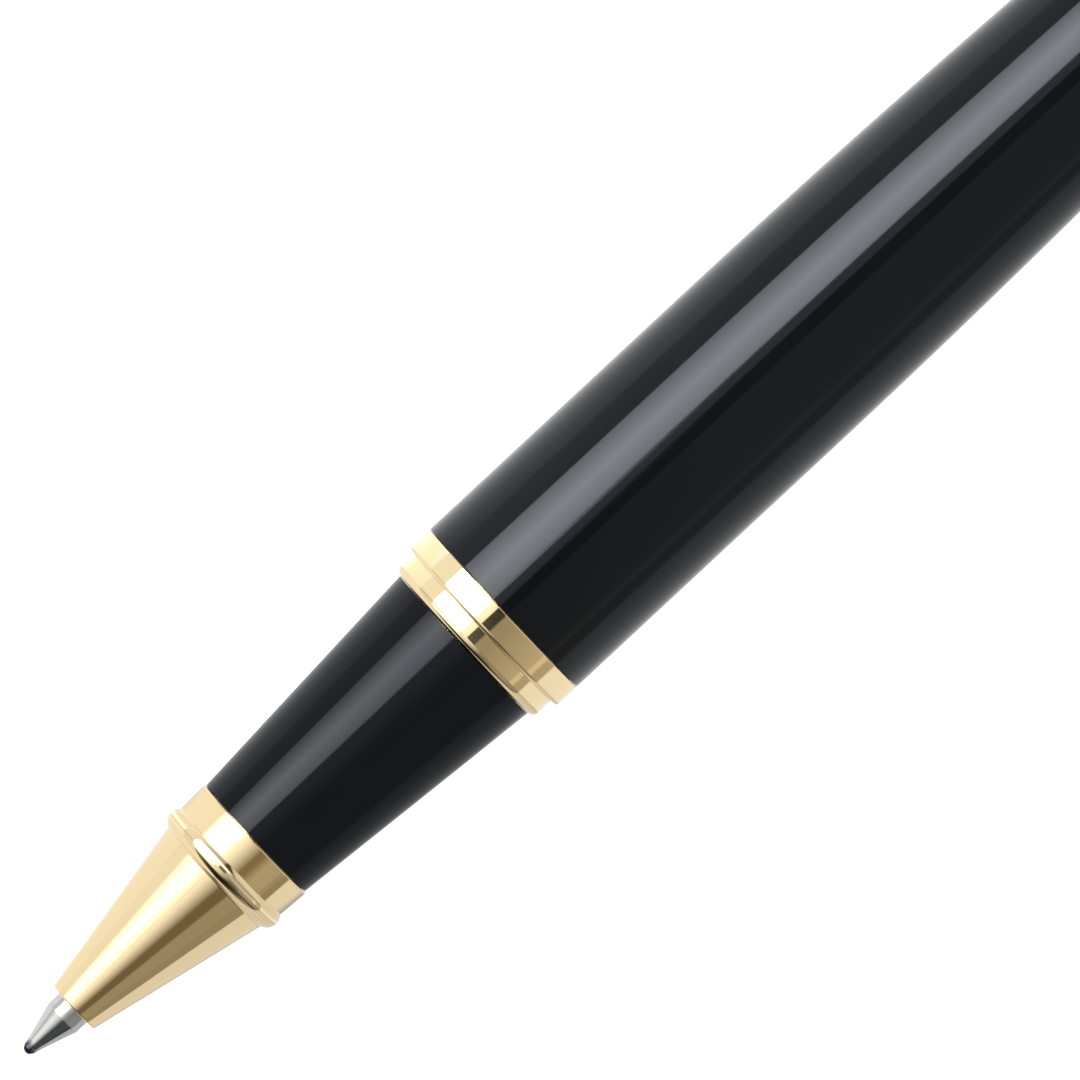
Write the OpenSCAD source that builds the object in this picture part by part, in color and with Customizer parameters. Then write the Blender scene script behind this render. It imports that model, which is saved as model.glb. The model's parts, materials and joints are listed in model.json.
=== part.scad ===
// Rollerball pen with a screw-in writing section, a capless refill and a posted cap.
// The pen lies along +X with its writing tip at -X. Every sub-part is turned about the
// pen's own axis, z from the ball's outermost point, and lay_down() puts it in the frame.

/* [Overall] */
// Length of the pen without its cap, from the ball to the tail
pen_len = 121; // [118:0.5:125]
// Length of the cap, from its lip to the top of the finial
cap_len = 57; // [56:0.5:60]
// Distance from the ball to the lip of the posted cap
posted_lip = 85; // [84:0.5:87]

/* [Writing point] */
// Radius of the rolling ball
ball_r = 0.35; // [0.3:0.05:0.35]
// Radius of the steel point's straight shank
shank_r = 1.12; // [1.1:0.01:1.13]
// Distance from the ball to the shank's shoulder
shoulder_z = 2.75; // [2.6:0.05:2.9]
// Length of the steel point
point_len = 9; // [8.5:0.5:10]
// Radius of the ink channel behind the ball
ink_channel_r = 0.15; // [0.1:0.05:0.2]

/* [Refill] */
// Outer radius of the refill tube
refill_r = 3.0; // [2.9:0.05:3]
// Wall of the refill tube
refill_wall = 0.4; // [0.3:0.05:0.5]
// Length of the refill with its ball and plug
refill_len = 111; // [110:0.5:111.5]
// Radius of the feed wick
wick_r = 0.5; // [0.4:0.05:0.5]
// Wire diameter of the refill spring
spring_wire = 0.4; // [0.3:0.05:0.45]
// Radius of the spring's wire centre line
spring_r = 2.2; // [2:0.05:2.2]
// Number of turns of the spring
spring_turns = 6; // [5:1:7]

/* [Nose] */
// Distance from the ball to the nose's mouth
mouth_z = 3.63; // [3.6:0.01:3.8]
// Outer radius of the nose at its mouth
mouth_r = 1.63; // [1.6:0.01:1.7]
// Outer radius of the nose's cone at the bead
cone_end_r = 3.74; // [3.7:0.01:3.78]
// Distance from the ball to the widest point of the bead
bead_z = 14.9; // [14.8:0.05:15]
// Outer radius of the bead
bead_r = 4.24; // [4.2:0.01:4.3]
// Radius of the bead's rounded section
bead_round = 0.72; // [0.65:0.01:0.75]
// Outer radius of the collar, next to the bead
collar_front_r = 4.02; // [4:0.01:4.06]
// Outer radius of the collar, next to the grip
collar_rear_r = 4.105; // [4.09:0.005:4.12]
// Distance from the ball to the joint of collar and grip
collar_end = 17.28; // [17.2:0.01:17.3]

/* [Grip section] */
// Outer radius of the grip at its front
grip_front_r = 4.0; // [3.98:0.01:4.04]
// Outer radius of the grip at its rear
grip_rear_r = 5.17; // [5.1:0.01:5.2]
// Distance from the ball to the grip's rear end
grip_end = 32.95; // [32.8:0.01:32.96]

/* [Trim ring] */
// Outer radius of the ring's front step
step_r = 5.53; // [5.5:0.01:5.55]
// Outer radius of the ring's rear step
ring_r = 5.95; // [5.93:0.01:6]
// Distance from the ball to the shoulder between the two steps
step_z = 34.37; // [34.2:0.01:34.5]
// Distance from the ball to the ring's rear face
ring_end = 35.91; // [35.8:0.01:35.92]

/* [Screw joint] */
// Thread pitch
pitch = 1.0; // [1:0.1:1.1]
// Number of thread turns
thread_turns = 4.5; // [4:0.5:4.5]
// Core radius of the male thread
male_core_r = 4.25; // [4.2:0.01:4.26]
// Crest radius of the male thread
male_crest_r = 4.62; // [4.55:0.01:4.64]
// Root radius of the female thread
female_root_r = 4.75; // [4.74:0.01:4.8]
// Crest radius of the female thread
female_crest_r = 4.38; // [4.36:0.01:4.42]

/* [Barrel] */
// Outer radius of the barrel's straight stretch
barrel_r = 5.94; // [5.9:0.01:5.96]
// Distance from the ball to the end of the straight stretch
straight_end = 55; // [50:1:60]
// Radius of the long curve that leads into the taper
swell_r = 630; // [600:10:700]
// Outer radius of the barrel at the tail
tail_r = 4.105; // [4.08:0.005:4.12]
// Wall of the barrel and cap tubes
wall = 0.5; // [0.45:0.01:0.5]

/* [Cap] */
// Outer radius of the cap band
band_r = 6.45; // [6.43:0.01:6.6]
// Width of the cap band
band_w = 5; // [5:0.5:6]
// Inner radius of the cap's mouth
mouth_bore_r = 5.62; // [5.6:0.01:5.64]
// Outer radius of the cap tube at the band
cap_tube_r = 6.4; // [6.38:0.01:6.42]
// Outer radius of the cap tube at the finial
cap_top_r = 5.95; // [5.93:0.01:6]
// Wire radius of the snap ring
snap_wire_r = 0.2; // [0.15:0.01:0.2]
// Height of the finial
finial_h = 3; // [3:0.1:3.5]

/* [Clip] */
// Direction of the clip, turned from straight down towards -Y
clip_turn = 53.5; // [53.5:0.5:60]
// Distance of the clip's outer face from the pen's axis, at its root
clip_outer = 8.4; // [8.3:0.05:8.4]
// Drop of the clip's outer face from root to end
clip_drop = 0.35; // [0.2:0.05:0.5]
// Thickness of the clip's arm at its root
clip_thick = 0.8; // [0.7:0.05:0.9]
// Width of the clip at its root
clip_root_w = 3.6; // [3.4:0.1:3.6]
// Width of the clip at its end
clip_end_w = 2.6; // [2.4:0.1:2.8]
// Distance of the clip's end from the cap's lip
clip_end_u = 16; // [15:0.5:18]

/* [Hidden] */

$fn = 96;
eps = 0.01;

// Gap between two pieces that are pressed or glued together
seat_gap = 0.02;
// Radial gap between two pieces that turn or slide on each other
run_gap = 0.04;
// Visible joint line between two neighbouring rings
joint_line = 0.04;

lacquer = [0.05, 0.05, 0.06];
gold = [0.90, 0.78, 0.50];
steel = [0.75, 0.75, 0.76];
brass = [0.80, 0.66, 0.32];

// Steel point
socket_r = ball_r + 0.01;
lip_z = 0.26;
lip_r = socket_r + 0.025;
cone_start_z = 0.5;
cone_start_r = 0.42;
wick_bore_r = wick_r + 0.1;
wick_bore_z = 2;

// Refill holder, tube and plug
nose_wall = 0.6;
cone_end_z = bead_z - 0.75;
cone_slope = (cone_end_r - mouth_r) / (cone_end_z - mouth_z);
holder_front = 6.5;
holder_cone_end = 13.5;
holder_end = 20;
tube_front = 15;
tube_end = refill_len - 3;
core_front = holder_end + 1;
core_end = tube_end - 3;
wick_end = core_front + 5;
tube_bore_r = refill_r - refill_wall;

// Section liner, from the front of the thread
liner_front = 14.3;
liner_bore_r = refill_r + 0.1;
liner_front_r = 3.38;
liner_mid_r = 3.7;
liner_end = 43;
thread_z = 37.2;

// Barrel and tail
barrel_front = ring_end + joint_line;
bush_r = barrel_r - wall - seat_gap;
bush_end = 46;
taper_len = pen_len - straight_end;
swell_len = taper_len - sqrt(taper_len * taper_len - 2 * swell_r * (barrel_r - tail_r));
taper_slope = swell_len / swell_r;
tube_tail = pen_len - 2;
plug_r = 3.65;
plug_front = tube_tail - 4;
cup_bore_r = spring_r + spring_wire / 2 + 0.08;
cup_r = cup_bore_r + 0.4;
cup_front = tube_tail - 3;
cup_floor = tube_tail - 0.5;

// Cap, with u measured from its lip
tube_u = band_w;
liner_u = 3.2;
floor_u = 44;
floor_h = 1.5;
washer_u = cap_len - finial_h - 1.5;
finial_u = cap_len - finial_h;
liner_r = 5.55;
snap_u = 2.25;
snap_r = 5.5;
screw_r = 1.45;
screw_head_r = 2;
inlay_r = 4.2;
inlay_h = 0.5;

// Clip hinge, where the spring arm bends
knuckle_r = 0.75;
hinge_u = washer_u + knuckle_r;
hinge_rho = clip_outer - knuckle_r;
bump_u = clip_end_u + 3;
bump_r = 1.5;
bump_gap = 0.09;

// Frame
half_len = (posted_lip + cap_len) / 2;
axis_h = band_r;

// Outer radius of the barrel at a distance z from the ball
function barrel_outer(z) =
    let (d = z - straight_end)
    d < 0 ? barrel_r
    : d < swell_len ? barrel_r - d * d / (2 * swell_r)
    : barrel_r - taper_slope * (d - swell_len / 2);

// Outer radius of the nose's cone at a distance z from the ball
function cone_outer(z) = mouth_r + cone_slope * (z - mouth_z);

// Outer radius of the cap tube at a distance u from the lip
function cap_outer(u) =
    let (t = (u - tube_u) / (washer_u - tube_u))
    cap_tube_r - (cap_tube_r - cap_top_r) * t * t;

// Points of an arc about (x, y)
function arc(x, y, r, from, to, steps = 6) =
    [for (i = [0:steps]) let (a = from + (to - from) * i / steps) [x + r * cos(a), y + r * sin(a)]];

function lerp(a, b, t) = a + (b - a) * t;

// Lays the pen's axis along +X
module lay_down() {
    translate([-half_len, 0, axis_h]) rotate([0, 90, 0]) children();
}

// A piece turned from an outline of [radius, distance from the ball]
module turned(outline) {
    lay_down() rotate_extrude() polygon(outline);
}

// The same for a piece of the cap, with distances from the lip
module turned_cap(outline) {
    lay_down() translate([0, 0, posted_lip]) rotate_extrude() polygon(outline);
}

// A closed tube of four-cornered or rounder rings, each ring a list of points
module skin(rings) {
    count = len(rings);
    sides = len(rings[0]);
    polyhedron(
        points = [for (ring = rings) each ring],
        faces = concat(
            [[for (s = [0:sides - 1]) s]],
            [for (i = [0:count - 2], s = [0:sides - 1])
                each let (a = i * sides + s, b = i * sides + (s + 1) % sides)
                    [[a, a + sides, b + sides], [a, b + sides, b]]],
            [[for (s = [sides - 1:-1:0]) (count - 1) * sides + s]]
        )
    );
}

// A helical thread ridge that rises from root to crest and fades out at both ends.
// It is right-handed. The root lies a little inside the piece that carries the ridge.
module thread_ridge(root, crest, start) {
    steps = 30;
    base_w = 0.62 * pitch;
    tip_w = 0.22 * pitch;
    total = steps * thread_turns;
    // A female ridge points inwards, so its ring is listed the other way round
    outwards = crest > root;
    rings = [for (i = [0:total])
        let (
            a = 360 * i / steps,
            z = start + pitch * i / steps,
            fade = min(1, i / (steps / 2), (total - i) / (steps / 2)),
            top = lerp(root + (outwards ? 0.03 : -0.03), crest, fade),
            low = [[root, z - base_w / 2], [top, z - tip_w / 2]],
            high = [[top, z + tip_w / 2], [root, z + base_w / 2]],
            ring = concat(low, high)
        )
        [for (k = [0:3])
            let (p = ring[outwards ? 3 - k : k]) [p.x * cos(a), p.x * sin(a), p.y]]];
    skin(rings);
}

// ---- Barrel ----

module barrel_tube() {
    outer = [for (z = [barrel_front, straight_end,
                       for (i = [1:4]) straight_end + swell_len * i / 4, tube_tail])
             [barrel_outer(z), z]];
    inner = [for (i = [len(outer) - 1:-1:0]) [outer[i].x - wall, outer[i].y]];
    color(lacquer) turned(concat(outer, inner));
}

// Threaded brass insert at the mouth of the barrel
module thread_bush() {
    color(brass) lay_down() {
        difference() {
            translate([0, 0, barrel_front]) cylinder(r = bush_r, h = bush_end - barrel_front);
            translate([0, 0, barrel_front - 1]) cylinder(r = female_root_r, h = bush_end);
        }
        translate([0, 0, thread_z])
            rotate([0, 0, 180]) thread_ridge(female_root_r + 0.1, female_crest_r, 0);
    }
}

module tail_plug() {
    round_r = 0.9;
    color(lacquer) turned(concat(
        [[0, cup_floor], [cup_r + seat_gap, cup_floor], [cup_r + seat_gap, plug_front],
         [plug_r, plug_front], [plug_r, tube_tail + joint_line],
         [barrel_outer(tube_tail), tube_tail + joint_line]],
        arc(tail_r - round_r, pen_len - round_r, round_r, 0, 90),
        [[0, pen_len]]
    ));
}

// Plastic cup that centres the spring in the tail
module spring_cup() {
    color("dimgray") turned([
        [0, cup_floor - 0.4], [cup_bore_r, cup_floor - 0.4], [cup_bore_r, cup_front],
        [cup_r, cup_front], [cup_r, cup_floor - seat_gap], [0, cup_floor - seat_gap]
    ]);
}

// Compression spring that holds the refill against the nose, with a closed turn at each end
module refill_spring() {
    steps = 20;
    sides = 8;
    front = refill_len + spring_wire / 2 + seat_gap;
    rear = cup_floor - 0.4 - spring_wire / 2 - seat_gap;
    closed = spring_wire * 1.05;
    open_pitch = (rear - front - 2 * closed) / (spring_turns - 2);
    rings = [for (i = [0:steps * spring_turns])
        let (
            t = i / steps,
            a = 360 * t,
            z = front + closed * (min(t, 1) + max(0, t - spring_turns + 1))
                + open_pitch * max(0, min(t, spring_turns - 1) - 1)
        )
        [for (s = [0:sides - 1])
            let (
                b = 360 * s / sides,
                r = spring_r + spring_wire / 2 * cos(b)
            )
            [r * cos(a), r * sin(a), z + spring_wire / 2 * sin(b)]]];
    color("silver") lay_down() skin([for (ring = rings) [for (k = [sides - 1:-1:0]) ring[k]]]);
}

// ---- Refill ----

// Steel point: a thin lip holds the ball, and the wick reaches up to the ink channel
module refill_point() {
    color(steel) lay_down() difference() {
        rotate_extrude() polygon([
            [0, lip_z], [lip_r, lip_z], [cone_start_r, cone_start_z],
            [shank_r - 0.03, shoulder_z - 0.03], [shank_r, shoulder_z + 0.05],
            [shank_r, point_len], [0, point_len]
        ]);
        translate([0, 0, ball_r]) sphere(r = socket_r);
        cylinder(r = ink_channel_r, h = wick_bore_z + 1);
        translate([0, 0, wick_bore_z]) cylinder(r = wick_bore_r, h = point_len);
    }
}

module refill_holder() {
    clear = nose_wall + 0.06;
    color("white") turned([
        [wick_bore_r, point_len + seat_gap], [shank_r + seat_gap, point_len + seat_gap],
        [shank_r + seat_gap, holder_front], [cone_outer(holder_front) - clear, holder_front],
        [cone_outer(holder_cone_end) - clear, holder_cone_end],
        [refill_r, holder_cone_end + 0.1], [refill_r, tube_front - seat_gap],
        [tube_bore_r - seat_gap, tube_front - seat_gap], [tube_bore_r - seat_gap, holder_end],
        [wick_bore_r, holder_end]
    ]);
}

module refill_tube() {
    color("gray") turned([
        [tube_bore_r, tube_front], [refill_r, tube_front],
        [refill_r, tube_end], [tube_bore_r, tube_end]
    ]);
}

// Fibre rod that holds the ink, with a blind hole for the wick
module ink_core() {
    core_r = tube_bore_r - 0.1;
    color("navy") turned([
        [wick_r + seat_gap, core_front], [core_r, core_front], [core_r, core_end],
        [0, core_end], [0, wick_end + seat_gap], [wick_r + seat_gap, wick_end + seat_gap]
    ]);
}

module feed_wick() {
    color("lightgray") lay_down() translate([0, 0, wick_bore_z + 0.1])
        cylinder(r = wick_r, h = wick_end - wick_bore_z - 0.1);
}

module refill_plug() {
    spigot_r = tube_bore_r - seat_gap;
    color("black") turned([
        [0, core_end + 0.5], [spigot_r, core_end + 0.5], [spigot_r, tube_end + seat_gap],
        [refill_r, tube_end + seat_gap], [refill_r, refill_len - 0.3],
        [refill_r - 0.3, refill_len], [0, refill_len]
    ]);
}

module writing_ball() {
    color(steel) lay_down() translate([0, 0, ball_r]) sphere(r = ball_r);
}

// ---- Section ----

// Gold nose: a hollow cone, a bead and a short collar in one piece
module nose_cone() {
    lip_round = 0.1;
    edge = 0.1;
    bead_centre = bead_r - bead_round;
    collar_bore_r = liner_front_r + seat_gap;
    inner_end = liner_front - seat_gap;
    color(gold) turned(concat(
        [[shank_r + run_gap, mouth_z]],
        arc(mouth_r - lip_round, mouth_z + lip_round, lip_round, -90, 0, 4),
        [[cone_outer(cone_end_z - 0.1), cone_end_z - 0.1],
         [cone_outer(cone_end_z) + 0.03, cone_end_z + 0.05]],
        arc(bead_centre, bead_z, bead_round, -65, 45, 11),
        [[collar_front_r, bead_z + 0.62], [collar_rear_r, collar_end - edge],
         [collar_rear_r - edge, collar_end], [collar_bore_r, collar_end],
         [collar_bore_r, inner_end], [cone_outer(inner_end) - nose_wall, inner_end],
         [cone_outer(5.2) - nose_wall, 5.2], [shank_r + run_gap, 4.9]]
    ));
}

module grip_section() {
    edge = 0.07;
    front = collar_end + joint_line;
    bore_r = liner_mid_r + seat_gap;
    color(lacquer) turned([
        [bore_r, front], [grip_front_r - edge, front], [grip_front_r, front + edge],
        [grip_rear_r, grip_end - edge], [grip_rear_r - edge, grip_end], [bore_r, grip_end]
    ]);
}

// Brass liner: it joins nose, grip and ring, guides the refill and carries the male thread
module section_liner() {
    color(brass) lay_down() {
        rotate_extrude() polygon([
            [liner_bore_r, liner_front], [liner_front_r, liner_front],
            [liner_front_r, collar_end + seat_gap], [liner_mid_r, collar_end + seat_gap],
            [liner_mid_r, grip_end], [male_core_r, grip_end + seat_gap],
            [male_core_r, liner_end - 0.3], [male_core_r - 0.3, liner_end],
            [liner_bore_r, liner_end]
        ]);
        translate([0, 0, thread_z]) thread_ridge(male_core_r - 0.1, male_crest_r, 0);
    }
}

// Stepped ring: the cap's lip closes over the front step and stops on the rear one
module trim_ring() {
    front = grip_end + joint_line;
    bore_r = male_core_r + seat_gap;
    front_round = 0.38;
    rear_round = 0.2;
    edge = 0.05;
    color(gold) turned(concat(
        [[bore_r, front]],
        arc(step_r - front_round, front + front_round, front_round, -75, 0, 5),
        [[step_r, step_z]],
        arc(ring_r - rear_round, step_z + rear_round, rear_round, -90, 0, 4),
        [[ring_r, ring_end - edge], [ring_r - edge, ring_end], [bore_r, ring_end]]
    ));
}

// ---- Cap ----

// Gold band with a spigot for the tube, a groove for the snap ring and two trim grooves
module cap_band() {
    spigot_r = cap_outer(tube_u) - wall - seat_gap;
    groove = 0.12;
    edge = 0.25;
    color(gold) lay_down() translate([0, 0, posted_lip]) difference() {
        rotate_extrude() polygon([
            [mouth_bore_r, 0], [band_r - edge, 0], [band_r, edge],
            [band_r, tube_u - 0.05], [band_r - 0.05, tube_u - joint_line],
            [spigot_r, tube_u - joint_line], [spigot_r, tube_u + 3], [mouth_bore_r, tube_u + 3]
        ]);
        translate([0, 0, snap_u]) cylinder(r = mouth_bore_r + 0.13, h = 0.6, center = true);
        for (u = [0.9, tube_u - 0.9])
            translate([0, 0, u]) rotate_extrude() translate([band_r, 0]) circle(r = groove);
    }
}

// Split spring-wire ring that snaps over the trim ring's front step
module snap_ring() {
    color("silver") lay_down() translate([0, 0, posted_lip + snap_u])
        rotate_extrude(angle = 330) translate([snap_r, 0]) circle(r = snap_wire_r);
}

module cap_tube() {
    outer = [for (i = [0:6]) let (u = lerp(tube_u, washer_u, i / 6)) [cap_outer(u), u]];
    inner = [for (i = [len(outer) - 1:-1:0]) [outer[i].x - wall, outer[i].y]];
    color(lacquer) turned_cap(concat(outer, inner));
}

// Plastic inner cap: its tapered bore grips the barrel, and its floor takes the finial screw
module cap_liner() {
    boss_r = 3.6;
    gap_r = barrel_outer(posted_lip + liner_u) + run_gap;
    floor_r = gap_r - taper_slope * (floor_u - liner_u);
    color("dimgray") turned_cap([
        [gap_r, liner_u], [liner_r, liner_u], [liner_r, floor_u], [liner_r - 0.2, floor_u + floor_h],
        [boss_r, floor_u + floor_h], [boss_r, washer_u], [screw_r + seat_gap, washer_u],
        [screw_r + seat_gap, floor_u], [floor_r, floor_u]
    ]);
}

// Washer on top of the tube, with the lug that the clip springs from
module clip_mount() {
    lug_end = 7.1;
    color(gold) lay_down() translate([0, 0, posted_lip]) difference() {
        union() {
            translate([0, 0, washer_u]) cylinder(r = cap_top_r, h = finial_u - washer_u);
            rotate([0, 0, -clip_turn]) translate([4, -clip_root_w / 2, washer_u])
                cube([lug_end - 4, clip_root_w, finial_u - washer_u]);
        }
        translate([0, 0, washer_u - 1]) cylinder(r = screw_r + seat_gap, h = 4);
        rotate([0, 0, -clip_turn]) translate([hinge_rho, 0, hinge_u]) rotate([90, 0, 0])
            cylinder(r = knuckle_r + run_gap, h = 2 * clip_root_w, center = true);
    }
}

module finial_cap() {
    edge = 0.4;
    thread_end = 1.6;
    color(gold) turned_cap(concat(
        [[screw_r + seat_gap, finial_u], [cap_top_r, finial_u]],
        arc(cap_top_r - 0.25 - edge, cap_len - edge, edge, 10, 90, 5),
        [[inlay_r + seat_gap, cap_len], [inlay_r + seat_gap, cap_len - inlay_h],
         [0, cap_len - inlay_h], [0, finial_u + thread_end],
         [screw_r + seat_gap, finial_u + thread_end]]
    ));
}

module finial_inlay() {
    color(lacquer) lay_down() translate([0, 0, posted_lip + cap_len - inlay_h])
        cylinder(r = inlay_r, h = inlay_h);
}

// Screw that clamps liner, clip and finial together
module finial_screw() {
    head_h = 1.3;
    color(steel) lay_down() translate([0, 0, posted_lip]) difference() {
        union() {
            translate([0, 0, floor_u - head_h]) cylinder(r = screw_head_r, h = head_h);
            translate([0, 0, floor_u - eps]) cylinder(r = screw_r, h = finial_u + 1.5 - floor_u);
        }
        translate([0, 0, floor_u - head_h]) cube([2 * screw_head_r + 1, 0.5, 1.2], center = true);
    }
}

// Sprung arm of the clip: a long tapered blade with a bump that presses on the cap
module clip_arm() {
    end_thick = clip_thick * 0.75;
    end_outer = clip_outer - clip_drop;
    bump_rho = cap_outer(bump_u) + bump_gap + bump_r;
    color(gold) lay_down() translate([0, 0, posted_lip]) rotate([0, 0, -clip_turn])
        intersection() {
            // Side view, x away from the axis and y along the cap
            rotate([90, 0, 0]) linear_extrude(height = 2 * clip_root_w, center = true) union() {
                polygon([
                    [clip_outer, hinge_u], [clip_outer - clip_thick, hinge_u],
                    [end_outer - end_thick, clip_end_u + 0.4], [end_outer - 0.35, clip_end_u],
                    [end_outer - 0.15, clip_end_u], [end_outer, clip_end_u + 0.3]
                ]);
                translate([hinge_rho, hinge_u]) circle(r = knuckle_r);
                intersection() {
                    translate([bump_rho, bump_u]) circle(r = bump_r);
                    translate([bump_rho - 2 * bump_r, bump_u - 2 * bump_r])
                        square([end_outer - end_thick / 2 - bump_rho + 2 * bump_r, 4 * bump_r]);
                }
            }
            // Plan view, x across the clip and y along the cap
            rotate([90, 0, 90]) linear_extrude(height = 3 * clip_outer, center = true) polygon([
                [-clip_end_w / 2 + 0.4, clip_end_u - eps], [clip_end_w / 2 - 0.4, clip_end_u - eps],
                [clip_end_w / 2, clip_end_u + 0.6], [clip_root_w / 2, washer_u - 4],
                [clip_root_w / 2, finial_u + 1], [-clip_root_w / 2, finial_u + 1],
                [-clip_root_w / 2, washer_u - 4], [-clip_end_w / 2, clip_end_u + 0.6]
            ]);
        }
}

barrel_tube();
thread_bush();
tail_plug();
spring_cup();
refill_spring();
refill_point();
refill_holder();
refill_tube();
ink_core();
feed_wick();
refill_plug();
writing_ball();
nose_cone();
grip_section();
section_liner();
trim_ring();
cap_band();
snap_ring();
cap_tube();
cap_liner();
clip_mount();
finial_cap();
finial_inlay();
finial_screw();
clip_arm();
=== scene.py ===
import json
import math

import bmesh
import bpy
from mathutils import Matrix, Vector


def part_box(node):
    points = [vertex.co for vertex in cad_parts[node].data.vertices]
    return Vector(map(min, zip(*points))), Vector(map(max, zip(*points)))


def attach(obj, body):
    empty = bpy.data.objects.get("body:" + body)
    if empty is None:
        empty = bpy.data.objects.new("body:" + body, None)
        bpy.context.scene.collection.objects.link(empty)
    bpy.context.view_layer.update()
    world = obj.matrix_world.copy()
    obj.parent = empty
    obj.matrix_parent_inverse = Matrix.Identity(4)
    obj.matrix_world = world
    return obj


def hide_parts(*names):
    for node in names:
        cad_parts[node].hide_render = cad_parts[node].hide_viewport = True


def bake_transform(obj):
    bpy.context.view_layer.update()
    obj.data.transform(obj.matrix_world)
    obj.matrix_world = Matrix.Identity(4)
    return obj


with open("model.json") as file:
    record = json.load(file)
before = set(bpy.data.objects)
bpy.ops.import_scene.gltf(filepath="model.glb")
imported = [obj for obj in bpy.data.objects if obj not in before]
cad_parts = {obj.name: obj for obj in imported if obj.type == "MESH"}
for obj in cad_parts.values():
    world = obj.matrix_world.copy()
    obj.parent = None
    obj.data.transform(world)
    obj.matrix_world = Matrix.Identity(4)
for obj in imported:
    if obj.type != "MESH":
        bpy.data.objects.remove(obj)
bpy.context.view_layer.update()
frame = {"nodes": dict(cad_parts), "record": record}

# Rollerball pen. Outlines are in millimetres: z from the ball's outermost point, u from
# the cap's lip, and radii from the pen's axis. The frame is in metres.
MM = 0.001
SIDES = 224           # facets round the pen
LENGTH_STEP = 1.5     # mm between rings where an outline curves gently


# ---- Sizes that the frame gives ----

def turned_size(node):
    """Front and rear z and the largest radius of a node that is turned about the axis."""
    low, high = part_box(node)
    return (low.x - tip_x) / MM, (high.x - tip_x) / MM, (high.z - low.z) / 2 / MM


tip_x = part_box("writing_ball")[0].x
axis_z = sum(corner.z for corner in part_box("barrel_tube")) / 2
mouth_z, collar_end, bead_r = turned_size("nose_cone")
grip_front, grip_end, grip_rear_r = turned_size("grip_section")
ring_front, ring_end, ring_r = turned_size("trim_ring")
barrel_front, barrel_end, barrel_r = turned_size("barrel_tube")
tail_front, tail_end, _ = turned_size("tail_plug")
lip_z, band_spigot_end, band_r = turned_size("cap_band")
cap_front, cap_end, cap_r = turned_size("cap_tube")
finial_front, finial_end, finial_r = turned_size("finial_cap")
inlay_front, inlay_end, inlay_r = turned_size("finial_inlay")
washer_front, washer_end, _ = turned_size("clip_mount")
clip_front = turned_size("clip_arm")[0]
point_front, point_end, shank_r = turned_size("refill_point")
ball_r = turned_size("writing_ball")[2]

# ---- Sizes inside those limits ----

SHOULDER_Z = 2.75
CONE_START_Z, CONE_START_R = 0.5, 0.42
MOUTH_R = 1.63
CONE_END_Z, CONE_END_R = 14.15, 3.74
BEAD_Z, BEAD_ROUND = 14.9, 0.72
COLLAR_FRONT_R, COLLAR_REAR_R = 4.02, 4.105
GRIP_FRONT_R = 4.0
STEP_R, STEP_Z = 5.53, 34.37
STRAIGHT_END, SWELL_R, TAIL_R = 55, 630, 4.105
WALL = 0.5
SEAT_GAP = 0.02       # between two pieces that are pressed together
RUN_GAP = 0.04        # between two pieces that turn or slide, and in a visible joint line
BAND_W = cap_front - lip_z
CAP_TOP_R = finial_r


def barrel_outer(z):
    """The barrel's radius: a straight stretch, a long curve and a straight taper."""
    taper = tail_end - STRAIGHT_END
    swell = taper - math.sqrt(taper ** 2 - 2 * SWELL_R * (barrel_r - TAIL_R))
    d = z - STRAIGHT_END
    if d < 0:
        return barrel_r
    if d < swell:
        return barrel_r - d * d / (2 * SWELL_R)
    return barrel_r - swell / SWELL_R * (d - swell / 2)


def cap_outer(u):
    """The cap tube's radius, u from the lip."""
    t = (u - BAND_W) / (washer_front - cap_front)
    return cap_r - (cap_r - CAP_TOP_R) * t * t


def cone_outer(z):
    """The nose cone's radius."""
    return MOUTH_R + (CONE_END_R - MOUTH_R) * (z - mouth_z) / (CONE_END_Z - mouth_z)


# ---- Outlines ----

def arc(centre, radius, start, end, steps):
    """Points of an arc, with angles in degrees from the +z direction towards +r."""
    turns = [math.radians(start + (end - start) * i / steps) for i in range(steps + 1)]
    return [(centre[0] + radius * math.cos(a), centre[1] + radius * math.sin(a)) for a in turns]


NEARLY_STRAIGHT = math.radians(89.5)   # half a corner's angle, from which it isn't rounded
MOST_ROUNDED = 0.42                    # share of an edge that the rounding at one end may take


def rounded(corners, closed=True, steps=7):
    """An outline through corners (z, r, rounding), each rounded by an arc. A point on
    either side of the arc keeps the shading of the flats beside it flat."""
    points = []
    count = len(corners)
    for i, (z, r, rounding) in enumerate(corners):
        here = Vector((z, r))
        if rounding == 0 or (not closed and i in (0, count - 1)):
            points.append((z, r))
            continue
        before = Vector(corners[i - 1][:2]) - here
        after = Vector(corners[(i + 1) % count][:2]) - here
        half = before.angle(after) / 2
        if half > NEARLY_STRAIGHT:
            points.append((z, r))
            continue
        shorter = min(before.length, after.length)
        reach = min(rounding / math.tan(half), MOST_ROUNDED * shorter)
        radius = reach * math.tan(half)
        before_way, after_way = before.normalized(), after.normalized()
        centre = here + (before_way + after_way).normalized() * radius / math.sin(half)
        first = here + before_way * reach
        last = here + after_way * reach
        support = min(0.35 * radius, 0.1 * shorter)
        points.append(tuple(first + before_way * support))
        a, b = first - centre, last - centre
        sweep = math.atan2(a.x * b.y - a.y * b.x, a.dot(b))
        for k in range(steps + 1):
            t = sweep * k / steps
            turn = Matrix(((math.cos(t), -math.sin(t)), (math.sin(t), math.cos(t))))
            points.append(tuple(centre + turn @ a))
        points.append(tuple(last + after_way * support))
    return points


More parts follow.
